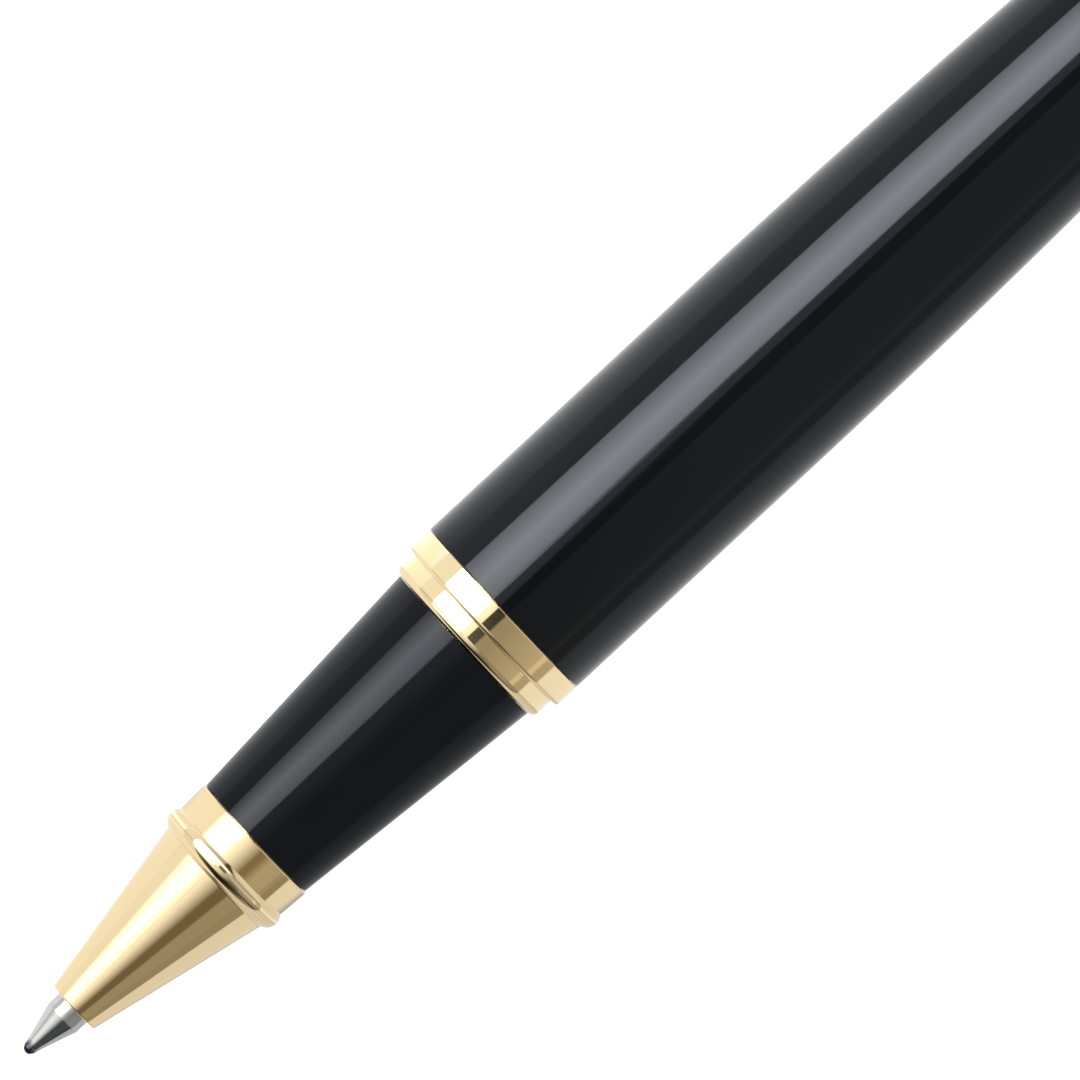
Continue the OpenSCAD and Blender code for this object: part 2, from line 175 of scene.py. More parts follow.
def along(start, end, radius_at, step=LENGTH_STEP):
    """Points (z, radius) of a gently curving stretch."""
    count = max(2, round(abs(end - start) / step))
    places = [start + (end - start) * i / count for i in range(count + 1)]
    return [(z, radius_at(z)) for z in places]


# ---- Meshes ----

def at(z, radius, angle=0.0):
    """A point of the frame, from z and radius in mm, with the angle from straight up towards -Y."""
    away = radius * MM
    return Vector((tip_x + z * MM, -away * math.sin(angle), axis_z + away * math.cos(angle)))


def finish_mesh(name, verts, faces, body, slot, material, nodes):
    """Makes the object, smooth and facing outwards, and gives it to its body."""
    mesh = bpy.data.meshes.new(name)
    mesh.from_pydata(verts, [], faces)
    work = bmesh.new()
    work.from_mesh(mesh)
    bmesh.ops.remove_doubles(work, verts=work.verts, dist=1e-9)
    bmesh.ops.recalc_face_normals(work, faces=work.faces)
    work.to_mesh(mesh)
    work.free()
    mesh.shade_smooth()
    mesh.materials.append(material)
    piece = bpy.data.objects.new(name, mesh)
    bpy.context.scene.collection.objects.link(piece)
    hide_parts(*nodes)
    if body:
        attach(piece, body)
    return piece


def ring_faces(front, rear):
    """Quads, or triangles at a pole, between two rings of vertex numbers."""
    count = max(len(front), len(rear))
    faces = []
    for i in range(count):
        j = (i + 1) % count
        near = [front[i % len(front)], front[j % len(front)]]
        far = [rear[j % len(rear)], rear[i % len(rear)]]
        face = list(dict.fromkeys(near + far))
        if len(face) > 2:
            faces.append(face)
    return faces


def turned(name, outline, body, slot, material, *nodes):
    """A piece turned about the pen's axis. The outline is a loop, or starts and ends on the axis."""
    verts, rings = [], []
    for z, r in outline:
        first = len(verts)
        if r < 1e-6:
            verts.append(at(z, 0))
        else:
            verts += [at(z, r, math.tau * i / SIDES) for i in range(SIDES)]
        rings.append(list(range(first, len(verts))))
    pairs = list(zip(rings, rings[1:]))
    if len(rings[0]) > 1:
        pairs.append((rings[-1], rings[0]))
    faces = [face for front, rear in pairs for face in ring_faces(front, rear)]
    return finish_mesh(name, verts, faces, body, slot, material, nodes)


# ---- Material nodes ----

class Tree:
    """A node tree, with one short call for each node."""

    def __init__(self, tree):
        self.tree = tree
        tree.nodes.clear()

    def add(self, kind, settings=None, **inputs):
        """Adds a node. An input is a socket to link or a value, and _ stands for a space."""
        node = self.tree.nodes.new(kind)
        for key, value in (settings or {}).items():
            setattr(node, key, value)
        for key, value in inputs.items():
            place = int(key[1:]) if key[1:].isdigit() else key.replace("_", " ")
            socket = node.inputs[place]
            if isinstance(value, bpy.types.NodeSocket):
                self.tree.links.new(value, socket)
            else:
                socket.default_value = value
        return node

    def math(self, operation, a, b=0.0):
        return self.add("ShaderNodeMath", {"operation": operation}, i0=a, i1=b).outputs[0]

    def weighted(self, a, b, share):
        """a and b added up, with share for b and the rest for a."""
        return self.math("ADD", self.math("MULTIPLY", a, 1.0 - share), self.math("MULTIPLY", b, share))

    def remap(self, value, low, high, to_low, to_high):
        node = self.add("ShaderNodeMapRange", None, Value=value, From_Min=low, From_Max=high,
                        To_Min=to_low, To_Max=to_high)
        return node.outputs["Result"]

    def mix(self, factor, a, b):
        node = self.add("ShaderNodeMix", {"data_type": "RGBA"}, i0=factor, i6=a, i7=b)
        return node.outputs[2]

    def noise(self, place, stretch, detail):
        """Noise with stretch cells per metre along X, Y and Z, or the same number along all."""
        cells = stretch if isinstance(stretch, tuple) else (stretch, stretch, stretch)
        mapped = self.add("ShaderNodeMapping", None, Vector=place, Scale=cells)
        return self.add("ShaderNodeTexNoise", None, Vector=mapped.outputs[0], Scale=1.0,
                        Detail=detail, Roughness=0.5).outputs[0]

    def rough(self, noise, smoothest, roughest):
        """A roughness from the middle range of a noise."""
        return self.remap(noise, 0.3, 0.7, smoothest, roughest)

    def bump(self, height, depth):
        """A normal for a height with this depth, in metres."""
        return self.add("ShaderNodeBump", None, Height=height, Distance=depth, Strength=1.0).outputs[0]


def rgb(r, g, b):
    return (r, g, b, 1.0)


def new_material(name):
    """A material, its tree and the place on the piece, in metres."""
    material = bpy.data.materials.new(name)
    material.use_nodes = True
    tree = Tree(material.node_tree)
    place = tree.add("ShaderNodeTexCoord").outputs["Object"]
    return material, tree, place


def close(tree, **inputs):
    """Ends a tree in a Principled shader with these inputs."""
    shader = tree.add("ShaderNodeBsdfPrincipled", None, **inputs)
    tree.add("ShaderNodeOutputMaterial", None, Surface=shader.outputs[0])


def worn_edges(tree, low, high):
    """0 where the pointiness is low or less, as on flats, rising to 1 on convex edges."""
    pointed = tree.add("ShaderNodeNewGeometry").outputs["Pointiness"]
    return tree.remap(pointed, low, high, 0.0, 1.0)


# ---- Materials ----

def black_lacquer():
    """Deep black lacquer: glossy, with a very faint orange peel and polishing lines."""
    material, tree, place = new_material("black_lacquer")
    cloud = tree.noise(place, 240, detail=3)
    peel = tree.noise(place, 2300, detail=1)
    lines = tree.noise(place, (90, 9000, 9000), detail=2)
    dust = tree.noise(place, 14000, detail=1)
    colour = tree.mix(cloud, rgb(0.0022, 0.0026, 0.0036), rgb(0.0028, 0.0034, 0.0048))
    height = tree.math("ADD", peel, tree.math("MULTIPLY", lines, 0.10))
    rough = tree.rough(tree.weighted(cloud, dust, 0.4), 0.035, 0.060)
    worn = tree.math("MULTIPLY", worn_edges(tree, 0.52, 0.60), 0.25)
    close(tree, Base_Color=colour, Roughness=tree.math("ADD", rough, worn), IOR=1.305,
          Specular_Tint=rgb(0.88, 0.935, 1.0), Normal=tree.bump(height, 2.0e-7))
    return material


def gold_plate():
    """Polished gold plate, with turning marks round the axis and paler worn edges."""
    material, tree, place = new_material("gold_plate")
    cloud = tree.noise(place, 700, detail=3)
    rings = tree.noise(place, (26000, 60, 60), detail=2)
    grain = tree.noise(place, 16000, detail=2)
    worn = worn_edges(tree, 0.53, 0.60)
    colour = tree.mix(cloud, rgb(0.930, 0.740, 0.430), rgb(0.955, 0.775, 0.475))
    colour = tree.mix(tree.math("MULTIPLY", worn, 0.35), colour, rgb(0.97, 0.86, 0.64))
    rough = tree.rough(tree.weighted(cloud, grain, 0.5), 0.026, 0.042)
    rough = tree.math("ADD", rough, tree.math("MULTIPLY", worn, 0.03))
    height = tree.math("ADD", rings, tree.math("MULTIPLY", grain, 0.5))
    close(tree, Base_Color=colour, Metallic=1.0, Roughness=rough, Normal=tree.bump(height, 3.0e-8))
    return material


def steel():
    """Turned steel of the writing point: fine rings, a grainy satin finish, ink near the ball."""
    ink_start, ink_end, ink_wander = 0.6 * MM, 0.95 * MM, 0.4 * MM
    material, tree, place = new_material("steel")
    rings = tree.noise(place, (36000, 300, 300), detail=3)
    grain = tree.noise(place, 21000, detail=2)
    blots = tree.noise(place, 1900, detail=3)
    x = tree.add("ShaderNodeSeparateXYZ", None, Vector=place).outputs[0]
    from_tip = tree.math("SUBTRACT", x, tip_x)
    from_tip = tree.math("ADD", from_tip, tree.math("MULTIPLY", blots, ink_wander))
    inked = tree.remap(from_tip, ink_start, ink_end, 0.9, 0.0)
    colour = tree.mix(grain, rgb(0.56, 0.56, 0.545), rgb(0.68, 0.68, 0.665))
    colour = tree.mix(inked, colour, rgb(0.05, 0.055, 0.085))
    height = tree.math("ADD", rings, tree.math("MULTIPLY", grain, 0.7))
    close(tree, Base_Color=colour, Metallic=1.0, Roughness=tree.rough(grain, 0.10, 0.17),
          Normal=tree.bump(height, 2.5e-7))
    return material


def ball_metal():
    """Ground hard-metal ball, with a film of ink."""
    material, tree, place = new_material("ball_metal")
    film = tree.noise(place, 3200, detail=3)
    colour = tree.mix(film, rgb(0.010, 0.011, 0.017), rgb(0.045, 0.048, 0.065))
    close(tree, Base_Color=colour, Metallic=0.9, Roughness=tree.rough(film, 0.12, 0.30))
    return material


def raw_brass():
    """Turned brass, a little dull, darker in the hollows of its thread."""
    material, tree, place = new_material("raw_brass")
    rings = tree.noise(place, (15000, 120, 120), detail=3)
    cloud = tree.noise(place, 420, detail=4)
    worn = worn_edges(tree, 0.49, 0.54)
    colour = tree.mix(cloud, rgb(0.60, 0.41, 0.17), rgb(0.76, 0.55, 0.26))
    colour = tree.mix(tree.math("MULTIPLY", worn, 0.5), colour, rgb(0.86, 0.67, 0.36))
    close(tree, Base_Color=colour, Metallic=1.0, Roughness=tree.rough(cloud, 0.22, 0.36),
          Normal=tree.bump(rings, 4e-7))
    return material


def spring_steel():
    """Drawn spring wire: bright, with faint drawing marks."""
    material, tree, place = new_material("spring_steel")
    marks = tree.noise(place, 5200, detail=3)
    colour = tree.mix(marks, rgb(0.52, 0.52, 0.52), rgb(0.70, 0.70, 0.69))
    close(tree, Base_Color=colour, Metallic=1.0, Roughness=tree.rough(marks, 0.16, 0.30),
          Normal=tree.bump(marks, 3e-7))
    return material


def plastic(name, dark, light, rough, through=0.0):
    """Moulded plastic with a fine spark-eroded grain and slight clouding."""
    material, tree, place = new_material(name)
    cloud = tree.noise(place, 300, detail=3)
    grain = tree.noise(place, 9000, detail=3)
    close(tree, Base_Color=tree.mix(cloud, dark, light), IOR=1.49, Subsurface_Weight=through,
          Subsurface_Scale=0.6 * MM, Roughness=tree.rough(grain, rough - 0.06, rough + 0.06),
          Normal=tree.bump(grain, 5e-7))
    return material


def fibre(name, dark, light):
    """A bundle of fibres along the axis."""
    material, tree, place = new_material(name)
    strands = tree.noise(place, (500, 16000, 16000), detail=3)
    close(tree, Base_Color=tree.mix(strands, dark, light), Roughness=0.85,
          Normal=tree.bump(strands, 1.2e-5))
    return material


MATERIALS = {
    "black_lacquer": black_lacquer(),
    "gold_plate": gold_plate(),
    "raw_brass": raw_brass(),
    "steel": steel(),
    "ball_metal": ball_metal(),
    "spring_steel": spring_steel(),
    "black_plastic": plastic(
        "black_plastic", rgb(0.012, 0.012, 0.013), rgb(0.022, 0.022, 0.023), 0.42),
    "white_plastic": plastic(
        "white_plastic", rgb(0.74, 0.74, 0.72), rgb(0.84, 0.84, 0.82), 0.32, through=0.3),
    "tube_plastic": plastic(
        "tube_plastic", rgb(0.42, 0.45, 0.50), rgb(0.52, 0.55, 0.60), 0.30, through=0.2),
    "ink_fibre": fibre("ink_fibre", rgb(0.010, 0.012, 0.050), rgb(0.030, 0.040, 0.120)),
    "wick_fibre": fibre("wick_fibre", rgb(0.45, 0.45, 0.48), rgb(0.70, 0.70, 0.70)),
}

# Every CAD node takes the material of its slot in the record
for part in frame["record"]["subparts"]:
    mesh = frame["nodes"][part["node"]].data
    mesh.materials.clear()
    mesh.materials.append(MATERIALS[part["material_slot"]])


def piece(name, outline, body, slot, *nodes):
    return turned(name, outline, body, slot, MATERIALS[slot], *nodes)


# ---- Refill point and ball ----

def make_point():
    """The steel point, open from its rear to the ball's socket, and the ball."""
    socket_r, socket_floor = ball_r + 0.01, 0.68
    lip_wall = 0.036
    shoulder_drop, shoulder_len = 0.015, 0.06
    wick_bore_r, wick_bore_z = 0.6, 2.0
    channel_r = 0.15
    lip_angle = math.degrees(math.acos((point_front - ball_r) / socket_r))
    socket = arc((ball_r, 0), socket_r, 55, lip_angle, 16)
    lip_r = socket[-1][1] + lip_wall
    piece("steel_point", rounded([
        (point_front, lip_r, 0.012), (CONE_START_Z, CONE_START_R, 0.08),
        (SHOULDER_Z, shank_r - shoulder_drop, 0.03), (SHOULDER_Z + shoulder_len, shank_r, 0.03),
        (point_end, shank_r, 0.05), (point_end, wick_bore_r, 0.02),
        (wick_bore_z, wick_bore_r, 0.02), (wick_bore_z, channel_r, 0.02),
        (socket_floor, channel_r, 0.01),
        *[(z, r, 0) for z, r in socket]]), "refill", "steel", "refill_point")
    half_turn = arc((ball_r, 0), ball_r, 180, 0, 36)
    ball = [(half_turn[0][0], 0.0), *half_turn[1:-1], (half_turn[-1][0], 0.0)]
    piece("rolling_ball", ball, "ball", "ball_metal", "writing_ball")


# ---- Writing section ----

def cove(line_at, slope, centre, radius, rounding, rear):
    """A hollow fillet between the straight outline line_at and the bead's arc: it returns the
    fillet's points and the bead's angle where it ends. rear is True behind the bead."""
    normal = Vector((-slope, 1)).normalized()
    way = Vector((1, slope)).normalized()
    start = Vector((centre[0], line_at(centre[0]))) + normal * rounding
    gap = start - Vector(centre)
    b = gap.dot(way)
    root = math.sqrt(b * b - gap.length_squared + (radius + rounding) ** 2)
    middle = start + way * (-b + (root if rear else -root))
    on_line = math.degrees(math.atan2(-normal.y, -normal.x))
    to_bead = Vector(centre) - middle
    on_bead = math.degrees(math.atan2(to_bead.y, to_bead.x))
    sweep = (on_bead - on_line + 180) % 360 - 180
    points = arc(middle, rounding, on_line, on_line + sweep, 8)
    back = middle - Vector(centre)
    return points, math.degrees(math.atan2(back.y, back.x))


def make_nose():
    """Cone, bead and collar, one turned piece. Coves lead from the bead to both its neighbours."""
    front_cove, rear_cove = 0.16, 0.07
    front_gap, rear_gap = 0.06, 0.05      # between a cove and the next point of the straight
    edge_len = 0.6
    cone_start, cone_stop = 7.0, 13.0
    mouth_taper = 6.0
    floor_z, hollow_z = 4.9, 5.2          # the mouth's rear face, and where the hollow starts
    hollow_end, wall = 14.28, 0.6
    bore_r, inner_r = shank_r + RUN_GAP, 3.4
    slope = (CONE_END_R - MOUTH_R) / (CONE_END_Z - mouth_z)
    collar_slope = (COLLAR_REAR_R - COLLAR_FRONT_R) / (collar_end - BEAD_Z - edge_len)

    def collar(z):
        return COLLAR_REAR_R + collar_slope * (z - collar_end)

    centre = (BEAD_Z, bead_r - BEAD_ROUND)
    front, front_angle = cove(cone_outer, slope, centre, BEAD_ROUND, front_cove, False)
    rear, rear_angle = cove(collar, collar_slope, centre, BEAD_ROUND, rear_cove, True)
    bead = arc(centre, BEAD_ROUND, front_angle, rear_angle, 26)
    mouth = rounded([
        (floor_z, bore_r, 0.1), (mouth_z, bore_r, 0.03), (mouth_z, MOUTH_R, 0.11),
        (mouth_taper, cone_outer(mouth_taper), 0)], closed=False)[1:]
    before_z, after_z = front[0][0] - front_gap, rear[0][0] + rear_gap
    edge_z = collar_end - edge_len
    edge = rounded([
        (edge_z, collar(edge_z), 0), (collar_end, COLLAR_REAR_R, 0.07),
        (collar_end, inner_r, 0.03), (hollow_end, inner_r, 0.02),
        (hollow_end, cone_outer(hollow_end) - wall, 0.02), (hollow_z, cone_outer(hollow_z) - wall, 0.05),
        (floor_z, bore_r, 0)], closed=False)
    outline = mouth + along(cone_start, cone_stop, cone_outer)
    outline += [(before_z, cone_outer(before_z)), *front, *bead[1:-1], *rear[::-1]]
    outline += [(after_z, collar(after_z)), *edge]
    piece("gold_nose", outline, "section", "gold_plate", "nose_cone")


def make_grip():
    """The lacquered taper, straight from collar to ring."""
    bore_r = 3.72
    edge_len = 1

    def outer(z):
        return GRIP_FRONT_R + (grip_rear_r - GRIP_FRONT_R) * (z - grip_front) / (grip_end - grip_front)

    front = rounded([
        (grip_front, bore_r, 0.03), (grip_front, GRIP_FRONT_R, 0.03),
        (grip_front + edge_len, outer(grip_front + edge_len), 0)], closed=False)
    rear = rounded([
        (grip_end - edge_len, outer(grip_end - edge_len), 0), (grip_end, grip_rear_r, 0.02),
        (grip_end, bore_r, 0.03), (grip_front, bore_r, 0)], closed=False)
    middle = along(grip_front + 2 * edge_len, grip_end - 2 * edge_len, outer)
    piece("lacquered_grip", front + middle + rear[:-1], "section", "black_lacquer", "grip_section")


def make_ring():
    """The trim ring in two steps, the front one with a rounded front edge."""
    bore_r = 4.27
    outline = rounded([
        (ring_front, bore_r, 0.03), (ring_front, STEP_R, 0.36), (STEP_Z, STEP_R, 0.03),
        (STEP_Z, ring_r, 0.20), (ring_end, ring_r, 0.06), (ring_end, bore_r, 0.03)], steps=9)
    piece("stepped_ring", outline, "section", "gold_plate", "trim_ring")


# ---- Barrel ----

REAR_LEN = 0.8        # the last stretch of a tube, before its rounded rear edge
INNER_START = 0.3     # from a tube's front face to the first point inside


def tube_rear(end, outer, end_r, outer_rounding):
    """The rear edge of a tube of even wall, from its outside to its inside."""
    start = end - REAR_LEN
    return rounded([
        (start, outer(start), 0), (end, end_r, outer_rounding), (end, end_r - WALL, 0.04),
        (start, outer(start) - WALL, 0)], closed=False)


def make_barrel():
    """The lacquered barrel and the plug that closes its tail."""
    front = rounded([
        (barrel_front, barrel_r - WALL, 0.04), (barrel_front, barrel_r, 0.03),
        (barrel_front + 1, barrel_r, 0)], closed=False)
    outer = along(barrel_front + 3, barrel_end - 1, barrel_outer, 2.0)
    rear = tube_rear(barrel_end, barrel_outer, barrel_outer(barrel_end), 0.04)
    inner = [(z, r - WALL) for z, r in reversed(outer)]
    outline = front[1:] + outer + rear + inner + [(barrel_front + INNER_START, barrel_r - WALL)]
    piece("lacquered_barrel", outline, "barrel", "black_lacquer", "barrel_tube")
    plug_r, cup_r, cup_floor = 3.65, 2.9, 118.5
    cap_z = barrel_end + RUN_GAP
    outline = rounded([
        (cup_floor, 0, 0), (cup_floor, cup_r, 0.05), (tail_front, cup_r, 0.05),
        (tail_front, plug_r, 0.1), (cap_z, plug_r, 0.05), (cap_z, barrel_outer(barrel_end), 0.04),
        (tail_end, TAIL_R, 0.85), (tail_end, 0, 0)], closed=False, steps=10)
    piece("tail_end", outline, "barrel", "black_lacquer", "tail_plug")


# ---- Cap ----

def make_band():
    """The gold band, with a turned groove near each edge and a spigot that enters the tube."""
    bore_r = 5.62
    spigot_r = cap_outer(BAND_W) - WALL - SEAT_GAP
    groove_u, groove_half, groove_depth = 0.9, 0.16, 0.12
    band_end = cap_front - RUN_GAP
    grooves = []
    for u in (groove_u, BAND_W - groove_u):
        z = lip_z + u
        grooves += [(z - groove_half, band_r, 0.05), (z, band_r - groove_depth, 0.08),
                    (z + groove_half, band_r, 0.05)]
    outline = rounded([
        (lip_z, bore_r, 0.12), (lip_z, band_r, 0.25), *grooves,
        (band_end, band_r, 0.06), (band_end, spigot_r, 0.03),
        (band_spigot_end, spigot_r, 0.05), (band_spigot_end, bore_r, 0.05)])
    piece("gold_band", outline, "cap", "gold_plate", "cap_band")


def make_cap_tube():
    """The lacquered cap, from the band to the clip's washer."""
    def outside(z):
        return cap_outer(z - lip_z)

    front = rounded([
        (cap_front, cap_r - WALL, 0.04), (cap_front, cap_r, 0.05),
        (cap_front + 1, cap_outer(BAND_W + 1), 0)], closed=False)
    outer = along(cap_front + 2.5, cap_end - 1.5, outside, 2.0)
    rear = tube_rear(cap_end, outside, CAP_TOP_R, 0.05)
    inner = [(z, r - WALL) for z, r in reversed(outer)]
    outline = front[1:] + outer + rear + inner + [(cap_front + INNER_START, cap_r - WALL)]
    piece("lacquered_cap", outline, "cap", "black_lacquer", "cap_tube")


def make_finial():
    """The gold top with its black disc, and the clip's washer below it."""
    screw_r, screw_depth = 1.47, 1.6
    foot_len, neck_z, neck_drop = 0.35, 0.55, 0.2
    dome_z, dome_drop = 1.9, 1.05
    neck_r = finial_r - neck_drop
    recess_r = inlay_r + SEAT_GAP
    disc_edge, disc_crown = 0.06, 1.2
    outline = rounded([
        (finial_front, screw_r, 0.03), (finial_front, finial_r, 0.08),
        (finial_front + foot_len, finial_r, 0.1), (finial_front + neck_z, neck_r, 0.1),
        (finial_front + dome_z, neck_r, 0.5), (finial_end, finial_r - dome_drop, 0.25),
        (finial_end, recess_r, 0.03), (inlay_front, recess_r, 0.02), (inlay_front, 0, 0),
        (finial_front + screw_depth, 0, 0), (finial_front + screw_depth, screw_r, 0.03)],
        closed=False, steps=8)
    hollow = outline.index((inlay_front, 0))
    outline = outline[hollow + 1:] + outline[:hollow + 1]
    piece("gold_finial", outline, "cap", "gold_plate", "finial_cap")
    outline = rounded([
        (inlay_front, 0, 0), (inlay_front, inlay_r, 0.03), (inlay_end - disc_edge, inlay_r, 0.05),
        (inlay_end, inlay_r - disc_crown, 0.6), (inlay_end, 0, 0)], closed=False)
    piece("finial_disc", outline, "cap", "black_lacquer", "finial_inlay")
    outline = rounded([
        (washer_front, screw_r, 0.03), (washer_front, CAP_TOP_R, 0.14),
        (washer_end, CAP_TOP_R, 0.14), (washer_end, screw_r, 0.03)])
    piece("clip_washer", outline, "cap", "gold_plate", "clip_mount")


# ---- Clip ----

CLIP_ANGLE = math.radians(180 - 53.5)   # from straight up towards -Y
CLIP_ROOT_W, CLIP_END_W = 3.6, 2.6
CLIP_OUTER, CLIP_DROP, CLIP_THICK = 8.4, 0.35, 0.8
BEND_R, BEND_HOLLOW_R = 0.75, 0.6
BUMP_R, BUMP_PLACE, BUMP_GAP = 1.5, 3, 0.09
HINGE_U = washer_end - lip_z - BEND_R


def bend_stations():
    """Stations out of the washer and round the bend, where the strip turns along the cap."""
    edge = 0.03
    bend = (HINGE_U, CLIP_OUTER - BEND_R)
    hollow = (HINGE_U - BEND_R - BEND_HOLLOW_R, CLIP_OUTER - CLIP_THICK - BEND_HOLLOW_R)
    stations = [((HINGE_U + BEND_R - edge, r), (HINGE_U - BEND_R + edge, r), CLIP_ROOT_W)
                for r in (4.6, 5.5, 6.2, 6.6)]
    steps = 12
    for i in range(steps + 1):
        turn = math.radians(90 * i / steps)
        outer = (bend[0] + (BEND_R - edge) * math.cos(turn), bend[1] + BEND_R * math.sin(turn))
        inner = (hollow[0] + BEND_HOLLOW_R * math.cos(turn) + edge,
                 hollow[1] + BEND_HOLLOW_R * math.sin(turn))
        stations.append((outer, inner, CLIP_ROOT_W))
    return stations


def arm_stations():
    """Stations along the cap, thinner and narrower to the rounded end, with a bump below."""
    end_u = clip_front - lip_z
    arm_start = HINGE_U - BEND_R - BEND_HOLLOW_R
    arm_end = end_u + 0.12
    bump_u = end_u + BUMP_PLACE
    bump_rho = cap_outer(bump_u) + BUMP_GAP + BUMP_R
    thinning, nose_len, narrowing = 0.25, 1.1, 0.97
    outer_fall, inner_rise = 0.25, 0.10
    steps = 72
    stations = []
    for i in range(1, steps + 1):
        t = i / steps
        u = arm_start + (arm_end - arm_start) * t
        outer_r = CLIP_OUTER - CLIP_DROP * t
        inner_r = outer_r - CLIP_THICK * (1 - thinning * t)
        off = u - bump_u
        if abs(off) < BUMP_R:
            inner_r = min(inner_r, bump_rho - math.sqrt(BUMP_R ** 2 - off ** 2))
        width = CLIP_ROOT_W + (CLIP_END_W - CLIP_ROOT_W) * t
        near = max(0.0, 1 - (u - end_u) / nose_len)
        width *= math.sqrt(max(0.0, 1 - narrowing * near ** 2))
        outer_r -= outer_fall * near ** 2
        inner_r += inner_rise * near ** 2
        stations.append(((u, outer_r), (u, inner_r), width))
    return stations


def make_clip():
    """One strip from the washer, round the bend and along the cap. A station holds its outer
    point, its inner point, each as (u, distance from the axis), and its width."""
    around, power, crown = 44, 0.28, 0.16
    verts, rings = [], []
    out = at(0, 1, CLIP_ANGLE) - at(0, 0)
    side = Vector((1, 0, 0)).cross(out).normalized() * MM

    def on_axis(u):
        return Vector((tip_x + (lip_z + u) * MM, 0, axis_z))

    for outer, inner, width in bend_stations() + arm_stations():
        ring = []
        for k in range(around):
            a = math.tau * k / around
            across = math.copysign(abs(math.cos(a)) ** power, math.cos(a))
            up = math.copysign(abs(math.sin(a)) ** power, math.sin(a))
            share = (up + 1) / 2 * (1 - crown * across * across)
            u = inner[0] + (outer[0] - inner[0]) * share
            rho = inner[1] + (outer[1] - inner[1]) * share
            ring.append(len(verts))
            verts.append(on_axis(u) + out * rho + side * across * width / 2)
        rings.append(ring)
    faces = [face for front, rear in zip(rings, rings[1:]) for face in ring_faces(front, rear)]
    faces += [rings[0], rings[-1][::-1]]
    gold = MATERIALS["gold_plate"]
    clip = finish_mesh("spring_clip", verts, faces, None, "gold_plate", gold, ["clip_arm"])
    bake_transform(clip)


make_point()
make_nose()
make_grip()
make_ring()
make_barrel()
make_band()
make_cap_tube()
make_finial()
make_clip()


# ---- Stage ----

def make_floor():
    """A pale floor, bright enough to read as white. Reflections see the studio in its place."""
    size = 4.0
    corners = [(-size, -size, 0), (size, -size, 0), (size, size, 0), (-size, size, 0)]
    mesh = bpy.data.meshes.new("floor")
    mesh.from_pydata(corners, [], [(0, 1, 2, 3)])
    floor = bpy.data.objects.new("floor", mesh)
    bpy.context.scene.collection.objects.link(floor)
    material, tree, _ = new_material("pale_floor")
    close(tree, Base_Color=rgb(0.85, 0.85, 0.85), Roughness=1.0, Specular_IOR_Level=0.0,
          Emission_Color=rgb(1, 1, 1), Emission_Strength=0.90)
    mesh.materials.append(material)
    floor.visible_glossy = False


# The studio, by the angle across the pen in degrees from the zenith towards -Y. A wide soft
# box hangs on the +Y side, with a pale strip beside it, then come a dark gap and a dim wall
# with a card on it on the -Y side, and the pale table closes the ring below.
BOX_START, BOX_MIDDLE = -62.6, -38
CARD_START, CARD_END = 71, 78
TABLE_START, TABLE_END = 91, -90
STRIP_FADE = 0.9      # the strip's brightness at its far end, as a share
WHITE, WARM, COOL = (1.0, 1.0, 1.0), (1.0, 0.9, 0.7), (0.9, 1.0, 1.0)


def surroundings(back, side, box, edge, box_end, strip, fall, gap, rise, wall, table, tint=WHITE):
    """Stops (angle, colour) from below on the +Y side, over the top, to below on the -Y side:
    back, the table there, and side, the wall above it
    box, the soft box at its start, middle and end. It ends at box_end, and edge is how soft it ends
    strip, the pale strip, down to gap between the angles fall, and up from it between the angles rise
    wall, the wall's top, the wall above its card, the card and the wall's foot
    table, the table on the -Y side
    The wall has the tint, and the gap has it twice over."""
    deep = tuple(c * c for c in tint)
    stops = [(-180, back, WHITE), (TABLE_END - 2, back, WHITE), (TABLE_END + 1, side, WHITE),
             (BOX_START - edge, side, WHITE), (BOX_START + edge, box[0], WHITE),
             (BOX_MIDDLE, box[1], WHITE), (box_end - edge, box[2], WHITE),
             (box_end + edge, strip, WHITE), (fall[0], STRIP_FADE * strip, WHITE),
             (fall[1], gap, deep), (rise[0], gap, deep), (rise[1], wall[0], tint),
             (CARD_START - 1, wall[1], tint), (CARD_START + 1, wall[2], tint),
             (CARD_END - 1, wall[2], tint), (CARD_END + 1, wall[3], tint),
             (TABLE_START - 1, wall[3], tint), (TABLE_START + 2, table, WHITE), (180, table, WHITE)]
    return [(angle, tuple(value * c for c in shade)) for angle, value, shade in stops]


# Behind the pen, then over each of its parts from the barrel to the point, then in front of it
REAR = surroundings(
    back=0.95, side=0.9, box=(0.6, 0.6, 0.5), edge=2, box_end=-14,
    strip=0.5, fall=(-8, 0), gap=0.07, rise=(18, 30),
    wall=(0.7, 0.8, 0.8, 0.8), table=0.75)
BEHIND = surroundings(
    back=0.95, side=0.9, box=(5, 8, 4), edge=2, box_end=-14,
    strip=3.5, fall=(-8, 22), gap=0.4, rise=(26, 32),
    wall=(0.36, 0.36, 0.4, 0.4), table=0.75, tint=WARM)
OVER_BARREL = surroundings(
    back=1.4, side=0.9, box=(6.6, 14, 9.6), edge=0.4, box_end=-16.7,
    strip=1.3, fall=(-6.9, -6.5), gap=0.16, rise=(7.4, 7.8),
    wall=(0.5, 0.6, 0.75, 0.5), table=0.93)
OVER_RING = surroundings(
    back=1.1, side=1.0, box=(6.6, 14, 8.8), edge=0.4, box_end=-13.7,
    strip=1.3, fall=(-3.4, -3.0), gap=0.01, rise=(8.2, 8.8),
    wall=(0.3, 0.5, 0.7, 0.45), table=0.9, tint=WARM)
